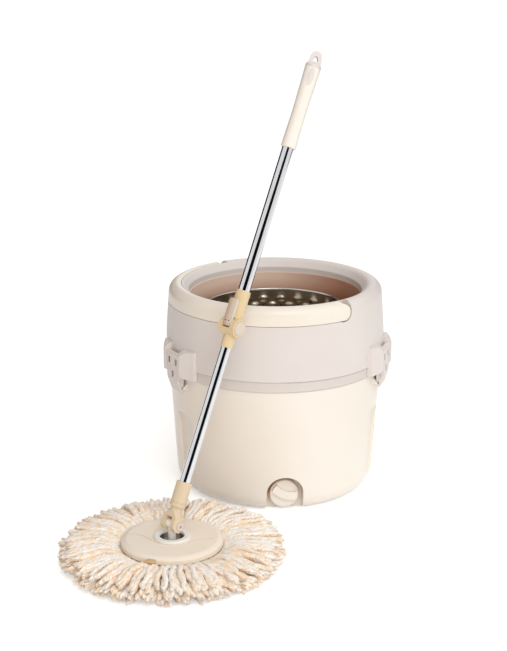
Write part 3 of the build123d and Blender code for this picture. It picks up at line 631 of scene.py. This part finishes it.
def cord_path(row, turn):
    """Points from root to tip as (angle, radius, height), for one cord of a row."""
    share = row / (cord_rows - 1)
    jitter = draw.uniform(-turn_jitter, turn_jitter)
    angle = 2 * math.pi * (turn + row * row_shift + jitter) / cords_per_row
    swing = draw.uniform(-swing_limit, swing_limit)
    tip = tip_radius - draw.uniform(0.0, tip_spread) - 0.006 * (2 * share - 0.9) ** 2
    lift = draw.uniform(-0.0015, 0.0020)
    return (
        (angle, root_radius, 0.0095 + 0.0075 * share),
        (angle + 0.1 * swing, 0.073, 0.0085 + 0.0090 * share),
        (angle + 0.3 * swing, 0.090, 0.0065 + 0.0200 * share + 0.5 * lift),
        (angle + 0.6 * swing, 0.120, 0.0055 + 0.0220 * share + lift),
        (angle + swing, tip, 0.0046 + 0.0205 * share + 1.5 * lift),
    )


print("cords:", cord_rows * cords_per_row)

# %% [markdown]
# A cord follows a smooth curve through its stations. Its thickness isn't even: loose yarn swells and
# narrows along its length, is squeezed at the root and is rounded off at the tip.


# %% Curve and thickness of a cord
def cord_curve(stations):
    """Angle, radius, height and pitch of the curve through the stations, at each point of the cord."""
    parameter = np.linspace(0, 1, len(stations))
    fit = [np.polyfit(parameter, values, len(stations) - 1) for values in np.transpose(stations)]
    angle, radius, height = (np.polyval(line, cord_share) for line in fit)
    step_radius, step_height = (np.polyval(np.polyder(line), cord_share) for line in fit[1:])
    return angle, radius, height, np.arctan2(step_height, step_radius)


def cord_swell(phase):
    """Share of the full thickness at each point of the cord."""
    bulges = 1 + 0.11 * np.sin(cord_share * 38 + phase) + 0.05 * np.sin(cord_share * 71 + 2 * phase)
    squeezed_root = 0.72 + 0.28 * np.clip(cord_share * 4, 0, 1)
    round_tip = np.sqrt(np.clip(1.03 - cord_share ** 22, 0.05, 1))
    return bulges * squeezed_root * round_tip


print("swell of a cord:", round(cord_swell(0.0).min(), 2), "to", round(cord_swell(0.0).max(), 2))

# %% [markdown]
# A copy of the cord is bent along its curve, with a wave like that of loose yarn. It also stores where each
# point lies in it, for the finish: the place round and along the twist, the height above or below the
# cord's middle, and one tone for the whole cord. The copies are then joined into one piece.

# %% Lay the cords
cord_radius = 0.0041
cord_length = 0.100
wave_height = 0.0021
twist_turns = 3.0
ply_width = 1.3
ply_length = 0.0055
floor_gap = 0.0006


def store(mesh, name, kind, values):
    field = mesh.attributes.new(name, kind, "POINT")
    key = "vector" if kind == "FLOAT_VECTOR" else "value"
    field.data.foreach_set(key, values.astype(np.float32).ravel())


def store_lay(mesh, tone):
    """Stores where each point lies in its cord, and the cord's tone."""
    turned = cord_turn + 2 * math.pi * twist_turns * cord_share
    lengthwise = cord_share * cord_length / ply_length + 97 * tone
    place = np.stack([ply_width * np.cos(turned), ply_width * np.sin(turned), lengthwise], axis=1)
    store(mesh, "lay", "FLOAT_VECTOR", place)
    store(mesh, "lift", "FLOAT", cord_points[:, 1])
    store(mesh, "tone", "FLOAT", np.full(len(cord_points), tone))


def lay_cord(row, turn):
    """One copy of the cord, bent along its path, swollen and waved."""
    angle, radius, height, pitch = cord_curve(cord_path(row, turn))
    phase = draw.uniform(0, 2 * math.pi)
    loose = np.clip(cord_share * 3 - 0.6, 0, 1)
    wave = wave_height * loose * np.sin(cord_share * draw.uniform(11, 17) + 2 * phase)
    swell = cord_swell(phase)
    across = cord_points[:, 0] * cord_radius * swell + wave
    upward = cord_points[:, 1] * cord_radius * swell + 0.5 * np.roll(wave, 6)
    outward = radius - upward * np.sin(pitch)
    points = np.empty_like(cord_points)
    points[:, 0] = mop_centre.x + np.sin(angle) * outward + np.cos(angle) * across
    points[:, 1] = mop_centre.y - np.cos(angle) * outward + np.sin(angle) * across
    points[:, 2] = np.maximum(height + upward * np.cos(pitch), floor_gap)
    cord = copied(cord_model, "cord")
    cord.data.vertices.foreach_set("co", points.ravel())
    store_lay(cord.data, draw.random())
    return cord


yarn = joined([lay_cord(row, turn) for row in range(cord_rows) for turn in range(cords_per_row)])
bpy.data.objects.remove(cord_model)
yarn.name = "yarn"
bpy.ops.object.shade_smooth()
print("yarn triangles:", sum(len(face.vertices) - 2 for face in yarn.data.polygons))

# %% [markdown]
# Chenille is spun from soft tufts, so a cord looks mottled rather than striped. A noise on the stored place
# round and along the twist makes longish tufts, some white and some cream, and each cord leans to one of
# them by its tone. The sides of a cord, deep between its neighbours, get the warm brown of shaded yarn.

# %% Yarn finish
tuft_cream = linear(253, 228, 196)
tuft_white = linear(255, 252, 246)
shaded_yarn = linear(228, 160, 98)
chenille = Finish("chenille_yarn", Roughness=0.95, Sheen_Weight=0.3, Sheen_Roughness=0.5)
lay = chenille.node("ShaderNodeAttribute", {"attribute_name": "lay"}, None, "Vector")
lift = chenille.node("ShaderNodeAttribute", {"attribute_name": "lift"}, None, "Fac")
tone = chenille.node("ShaderNodeAttribute", {"attribute_name": "tone"}, None, "Fac")
tufts = chenille.noise(1.0, place=lay)
fluff = chenille.noise(2.4, place=lay)
fuzz = chenille.noise(600.0)
white_share = chenille.window(tufts + tone * 0.16, 0.50, 0.62)
open_share = chenille.window(abs(lift) * 0.45 + fluff, 0.38, 0.60)
tuft_colour = chenille.blend(white_share, tuft_cream, tuft_white)
chenille.feed("Base Color", chenille.blend(open_share, shaded_yarn, tuft_colour))
chenille.bump(tufts * 0.7 + fluff * 0.4 + fuzz * 0.2, 0.0018)
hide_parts("yarn_head")
enter(yarn, chenille, "head")
print("nodes in the yarn's finish:", len(chenille.tree.nodes))

# %% [markdown]
# The basket is pressed from stainless sheet, and its wall is covered with staggered rows of small round
# holes and raised dimples. Modelling the wall as one curved mesh would be slow work. A flat sheet is
# quick: one cell with a hole and a dimple is repeated sideways and upwards by two Array modifiers, the
# edges are extruded to the rim and to the floor, and the sheet is then rolled up along the drum's profile.

# %% Profile of the basket
wall_foot = Vector((0.104, 0.178))
wall_head = Vector((0.1095, 0.277))
foot_round = 0.010
foot_steps = 6
hub_hole = 0.012


def basket_profile():
    """(radius, height) along the outside of the drum, from the hub over the rounded foot to the rim."""
    slope = math.atan2(wall_head.y - wall_foot.y, wall_head.x - wall_foot.x)
    start = wall_foot.x - foot_round * math.tan(slope / 2)
    points = [(hub_hole, wall_foot.y)]
    for step in range(foot_steps + 1):
        bend = slope * step / foot_steps
        radius = start + foot_round * math.sin(bend)
        points.append((radius, wall_foot.y + foot_round * (1 - math.cos(bend))))
    return np.array(points + [tuple(wall_head)])


profile = basket_profile()
profile_length = np.concatenate([[0], np.cumsum(np.hypot(*np.diff(profile, axis=0).T))])
print("profile length in mm:", round(profile_length[-1] * 1000, 1))

# %% [markdown]
# A cell is a small grid. The vertex where the hole goes is deleted with its faces, and the corners round
# it are moved onto a circle. The vertices under the dimple are raised to a shallow dome.

# %% One cell of the sheet
cell_pitch = 0.0285
cell_height = 0.0108
hole_radius = 0.0022
hole_place = Vector((0.75 * cell_pitch, cell_height / 2))
dimple_place = Vector((0.25 * cell_pitch, cell_height / 2))
dimple_half = Vector((0.0078, 0.0051))
dimple_rise = 0.0026


def select_in(piece, kind, wanted):
    """Selects the vertices or edges of a piece for which wanted is true, and leaves it in edit mode."""
    bpy.ops.object.mode_set(mode="EDIT")
    bpy.ops.mesh.select_mode(type=kind)
    bpy.ops.mesh.select_all(action="DESELECT")
    bpy.ops.object.mode_set(mode="OBJECT")
    points = piece.data.vertices
    for element in points if kind == "VERT" else piece.data.edges:
        places = [element.co] if kind == "VERT" else [points[index].co for index in element.vertices]
        element.select = all(wanted(place) for place in places)
    bpy.ops.object.mode_set(mode="EDIT")


def model_cell():
    deselect()
    bpy.ops.mesh.primitive_grid_add(x_subdivisions=12, y_subdivisions=6, size=1.0)
    cell = bpy.context.object
    bpy.ops.object.mode_set(mode="EDIT")
    bpy.ops.transform.resize(value=(cell_pitch, cell_height, 1.0))
    bpy.ops.transform.translate(value=(cell_pitch / 2, cell_height / 2, 0))
    select_in(cell, "VERT", lambda place: (place.xy - hole_place).length < hole_radius / 4)
    bpy.ops.mesh.delete(type="VERT")
    bpy.ops.object.mode_set(mode="OBJECT")
    for vertex in cell.data.vertices:
        from_hole = vertex.co.xy - hole_place
        if from_hole.length < 1.4 * hole_radius:
            vertex.co.xy = hole_place + from_hole.normalized() * hole_radius
        from_dimple = vertex.co.xy - dimple_place
        spread = (from_dimple.x / dimple_half.x) ** 2 + (from_dimple.y / dimple_half.y) ** 2
        vertex.co.z = dimple_rise * max(0, 1 - spread)
    return cell


basket = model_cell()
print("faces of one cell:", len(basket.data.polygons))

# %% [markdown]
# The cell is repeated round and up the wall. The upper edge of the sheet is then extruded to the rim, and
# the lower edge in steps round the foot and across the floor, close together where the drains will be cut.

# %% Flat sheet
cell_columns = 24
cell_rows = 7
cell_merge = 0.0001
plain_band = 0.015
pattern_top = profile_length[-1] - plain_band + cell_height / 2
pattern_foot = pattern_top - cell_rows * cell_height
foot_stations = list(profile_length[foot_steps + 1:0:-2])
floor_radii = (0.0860, 0.0825, 0.0795, 0.0765, 0.0735, 0.0700, 0.0450, 0.0200)
floor_stations = [radius - hub_hole for radius in floor_radii]


def repeat(piece, count, offset):
    array = piece.modifiers.new("repeat", "ARRAY")
    array.count = count
    array.use_relative_offset = False
    array.use_constant_offset = True
    array.constant_offset_displace = offset
    array.use_merge_vertices = True
    array.merge_threshold = cell_merge
    bpy.ops.object.modifier_apply(modifier=array.name)


def extend(piece, edge, stations):
    """Extrudes the straight edge at that distance across the sheet to each station in turn."""
    for station in stations:
        select_in(piece, "EDGE", lambda place: abs(place.y - edge) < cell_merge / 10)
        bpy.ops.mesh.extrude_region_move(TRANSFORM_OT_translate={"value": (0, station - edge, 0)})
        bpy.ops.object.mode_set(mode="OBJECT")
        edge = station


repeat(basket, cell_columns, (cell_pitch, 0, 0))
repeat(basket, cell_rows, (cell_pitch / 2, cell_height, 0))
extend(basket, cell_rows * cell_height, [profile_length[-1] - pattern_foot])
extend(basket, 0.0, [station - pattern_foot for station in foot_stations + floor_stations])
print("faces of the flat sheet:", len(basket.data.polygons))

# %% [markdown]
# Rolling the sheet up turns the distance along it into an angle, and the distance across it into a place
# on the profile. Merging closes the seam.

# %% Roll up the sheet
seam_merge = 0.0002
flat = np.array([vertex.co for vertex in basket.data.vertices])
angle = 2 * math.pi * flat[:, 0] / (cell_columns * cell_pitch)
radius = np.interp(flat[:, 1] + pattern_foot, profile_length, profile[:, 0]) - flat[:, 2]
height = np.interp(flat[:, 1] + pattern_foot, profile_length, profile[:, 1])
rolled = np.stack([radius * np.sin(angle), -radius * np.cos(angle), height], axis=1)
basket.data.vertices.foreach_set("co", rolled.ravel())
bpy.ops.object.mode_set(mode="EDIT")
bpy.ops.mesh.select_all(action="SELECT")
bpy.ops.mesh.remove_doubles(threshold=seam_merge)
bpy.ops.mesh.normals_make_consistent(inside=False)
bpy.ops.object.mode_set(mode="OBJECT")
print("vertices merged at the seam:", len(flat) - len(basket.data.vertices))

# %% [markdown]
# Eight round drains go through the floor. The vertices well inside a drain are deleted, and the ragged
# edge that this leaves is moved onto the drain's circle.

# %% Drains in the floor
drain_circle = 0.078
drain_radius = 0.005
drain_core = 0.0042
drain_angles = [math.radians(45 * step) for step in range(8)]
drains = [Vector((math.cos(turn), math.sin(turn))) * drain_circle for turn in drain_angles]
floor_limit = wall_foot.y + foot_round / 2


def in_drain(place):
    return place.z < floor_limit and min((place.xy - drain).length for drain in drains) < drain_core


def open_drains(piece):
    """Deletes the floor inside each drain and moves the edge that is left onto a circle."""
    select_in(piece, "VERT", in_drain)
    bpy.ops.mesh.delete(type="VERT")
    bpy.ops.mesh.select_non_manifold(
        use_wire=False, use_multi_face=False, use_non_contiguous=False, use_verts=False)
    bpy.ops.object.mode_set(mode="OBJECT")
    for vertex in piece.data.vertices:
        drain = min(drains, key=lambda place: (vertex.co.xy - place).length)
        from_drain = vertex.co.xy - drain
        if vertex.select and from_drain.length < 2 * drain_radius:
            vertex.co.xy = drain + from_drain.normalized() * drain_radius


open_drains(basket)
print("drains:", len(drains))

# %% [markdown]
# A Solidify modifier gives the sheet its thickness, inwards, so the outside keeps the size of the solid. A
# ring rolled at the rim stiffens it, and is joined to the sheet with its own brighter steel.

# %% Thickness and bead
sheet_thickness = 0.001
bead_radius = 0.0019
solidify = basket.modifiers.new("sheet", "SOLIDIFY")
solidify.thickness = sheet_thickness
solidify.offset = -1
bpy.ops.object.modifier_apply(modifier=solidify.name)
basket.data.materials.append(basket_steel_painted_reflection.material)
bpy.ops.mesh.primitive_torus_add(
    major_segments=120, minor_segments=10, major_radius=wall_head.x, minor_radius=bead_radius,
    location=(0, 0, wall_head.y))
bead = bpy.context.object
bead.data.materials.append(steel.material)
basket = joined([basket, bead])
bpy.ops.object.shade_smooth_by_angle(angle=math.radians(40))
basket.name = "basket"
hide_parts("basket_drum")
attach(basket, "basket")
print("basket faces:", len(basket.data.polygons))

# %% [markdown]
# The sky of the studio is full white where the camera or a mirror sees it. As a light it is a little
# weaker, so that colours come out about as written, and dim and warm on the left, so that this side of the
# set falls into a soft shade. Light Path tells the two apart.

# %% Sky
sky_light = 0.85
left_tint = (0.20, 0.12, 0.06)
left_light = [sky_light * channel for channel in left_tint] + [1.0]
right_light = [sky_light, sky_light, sky_light, 1.0]
pure_white = [1.0, 1.0, 1.0, 1.0]
pure_black = [0.0, 0.0, 0.0, 1.0]


def seen_share(tree):
    """1 where the camera or a mirror looks, and 0 where light is gathered."""
    looked_at = tree.node("ShaderNodeLightPath", output="Is Camera Ray")
    return looked_at + tree.node("ShaderNodeLightPath", output="Is Glossy Ray")


world = bpy.data.worlds.new("studio_sky")
world.use_nodes = True
scene.world = world
sky = NodeTree(world.node_tree)
direction = sky.node("ShaderNodeTexCoord", output="Generated")
from_left = sky.window(sky.node("ShaderNodeSeparateXYZ", None, {0: direction}, "X"), -0.9, 0.1)
sky_colour = sky.blend(seen_share(sky), sky.blend(from_left, left_light, right_light), pure_white)
sky.join(sky.tree.nodes["Background"].inputs["Color"], sky_colour)
print("nodes in the sky:", len(sky.tree.nodes))

# %% [markdown]
# The floor is a pale matt plane. A faint glow, which only the camera and mirrors see, lifts it to white
# away from the set, and the shadow under the set stays.

# %% Floor
floor_finish = Finish("studio_floor", Roughness=0.9, Specular_IOR_Level=0.0, Emission_Strength=0.40)
floor_finish.feed("Base Color", [0.93, 0.93, 0.93, 1.0])
floor_finish.feed("Emission Color", floor_finish.blend(seen_share(floor_finish), pure_black, pure_white))
deselect()
bpy.ops.mesh.primitive_plane_add(size=60.0)
floor = bpy.context.object
floor.name = "studio_floor"
floor.data.materials.append(floor_finish.material)
print("floor across in m:", floor.dimensions.x)

# %% [markdown]
# Two large soft lamps stand in front: a high one for the modelling of the round forms, and a low one that
# fills the shade under the collar. Mirrors don't see the low lamp, because it would wash out the dark line
# down the chrome.


# %% Lamps
def soft_lamp(name, place, aim, size, power):
    data = bpy.data.lights.new(name, "AREA")
    data.size = size
    data.energy = power
    lamp = bpy.data.objects.new(name, data)
    scene.collection.objects.link(lamp)
    lamp.location = place
    lamp.rotation_euler = (Vector(aim) - Vector(place)).to_track_quat("-Z", "Y").to_euler()
    return lamp


key_lamp = soft_lamp("key_lamp", (0.6, -3.5, 4.2), (0, -0.1, 0.2), 2.6, 77.0)
low_lamp = soft_lamp("low_lamp", (-0.2, -3.6, 0.82), (0, -0.1, 0.1), 1.6, 20.0)
low_lamp.visible_glossy = False
print("lamps:", key_lamp.name, low_lamp.name)

# %% [markdown]
# Chrome shows nothing but its surroundings, and in an all-white studio it would vanish. A photographer
# hangs dark flags round it, so that the tube gets a dark line down its middle and a dark edge. Three flags
# do the same here. Only mirrors see them, so they neither shade the set nor stand in any view.

# %% Dark flags
flag_aim = Vector((0, -0.1, 0.5))
flag_finish = Finish("flag_cloth", Roughness=1.0, Specular_IOR_Level=0.0)
flag_finish.feed("Base Color", linear(16, 15, 14))


def hang_flag(name, place, width, height):
    deselect()
    bpy.ops.mesh.primitive_plane_add(size=1.0)
    flag = bpy.context.object
    flag.name = name
    flag.scale = (width, height, 1)
    flag.location = place
    flag.rotation_euler = (flag_aim - Vector(place)).to_track_quat("Z", "Y").to_euler()
    flag.data.materials.append(flag_finish.material)
    flag.visible_camera = False
    flag.visible_transmission = False
    flag.visible_diffuse = False
    flag.visible_shadow = False
    return flag


flags = [
    hang_flag("front_flag", (-0.45, -4.1, 1.75), 4.6, 2.4),
    hang_flag("left_flag", (-1.3, 1.7, 0.8), 2.6, 2.6),
    hang_flag("right_flag", (1.7, 1.0, 0.4), 3.0, 2.4),
]
print("flags:", len(flags))
